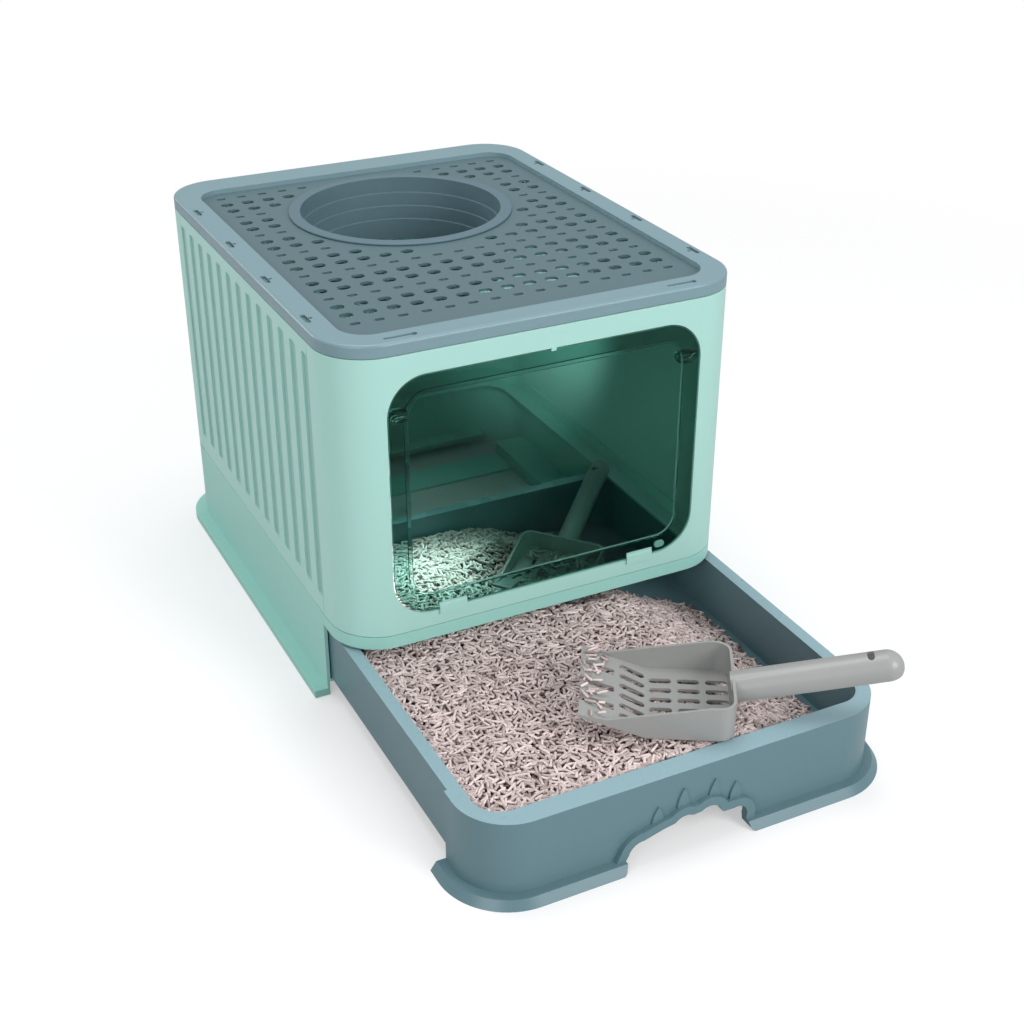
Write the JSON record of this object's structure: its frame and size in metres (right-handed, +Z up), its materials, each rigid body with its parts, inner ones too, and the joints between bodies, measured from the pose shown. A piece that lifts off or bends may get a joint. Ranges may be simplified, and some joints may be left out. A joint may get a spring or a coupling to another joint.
{
  "type": "drawer litter box",
  "caption": "Top-entry litter box: mint fluted shell, slate lid with sieve holes and round entry, tinted swing-up front door, pull-out litter drawer with finger cut-out, loose scoops",
  "frame": {"origin": "ground level under the middle of the housing, on the underside of the middle floor tie", "axes": "+X to the viewer's right facing the front door, +Y from the front to the back, +Z up"},
  "size_m": [0.436, 0.8159, 0.385],
  "materials": {
    "mint_shell": "satin moulded, pale mint green",
    "mint_base": "satin moulded, pale mint green",
    "slate_plastic": "satin moulded, slate blue grey",
    "tinted_window": "clear moulded plastic, dark green tint",
    "grey_plastic": "satin moulded, mid grey",
    "dark_plastic": "matt moulded, dark grey green",
    "pellet_litter": "matt pressed plant fibre pellets"
  },
  "bodies": {
    "housing": {"base_frame": "mint_base", "front_panel": "mint_shell", "back_panel": "mint_shell", "left_panel": "mint_shell", "right_panel": "mint_shell", "hinge_pin_left": "dark_plastic", "hinge_pin_right": "dark_plastic", "lid_clip_left_1": "dark_plastic", "lid_clip_left_2": "dark_plastic", "lid_clip_left_3": "dark_plastic", "lid_clip_left_4": "dark_plastic", "lid_clip_right_1": "dark_plastic", "lid_clip_right_2": "dark_plastic", "lid_clip_right_3": "dark_plastic", "lid_clip_right_4": "dark_plastic", "lid_clip_front_left": "dark_plastic", "lid_clip_front_right": "dark_plastic"},
    "door": {"door": "tinted_window", "door_catch": "dark_plastic"},
    "lid": {"lid_frame": "slate_plastic", "sieve_panel": "slate_plastic", "entry_collar": "dark_plastic"},
    "drawer": {"drawer_tray": "slate_plastic", "litter_bed": "pellet_litter"},
    "scoop": {"scoop": "grey_plastic"},
    "inner_scoop": {"inner_scoop": "grey_plastic"}
  },
  "joints": [
    {"name": "drawer_slide", "type": "slide", "parent": "housing", "child": "drawer", "axis": [0, -1, 0], "range_m": [-0.271, 0]},
    {"name": "door_swing", "type": "hinge", "parent": "housing", "child": "door", "pos_m": [0, -0.2455, 0.314], "axis": [-1, 0, 0], "range_deg": [0, 85]},
    {"name": "lid_lift", "type": "slide", "parent": "housing", "child": "lid", "axis": [0, 0, 1], "range_m": [0, 0.12]},
    {"name": "scoop_lift", "type": "slide", "parent": "housing", "child": "scoop", "axis": [0, 0, 1], "range_m": [0, 0.1]},
    {"name": "inner_scoop_lift", "type": "slide", "parent": "drawer", "child": "inner_scoop", "axis": [0, 0, 1], "range_m": [0, 0.02]}
  ]
}
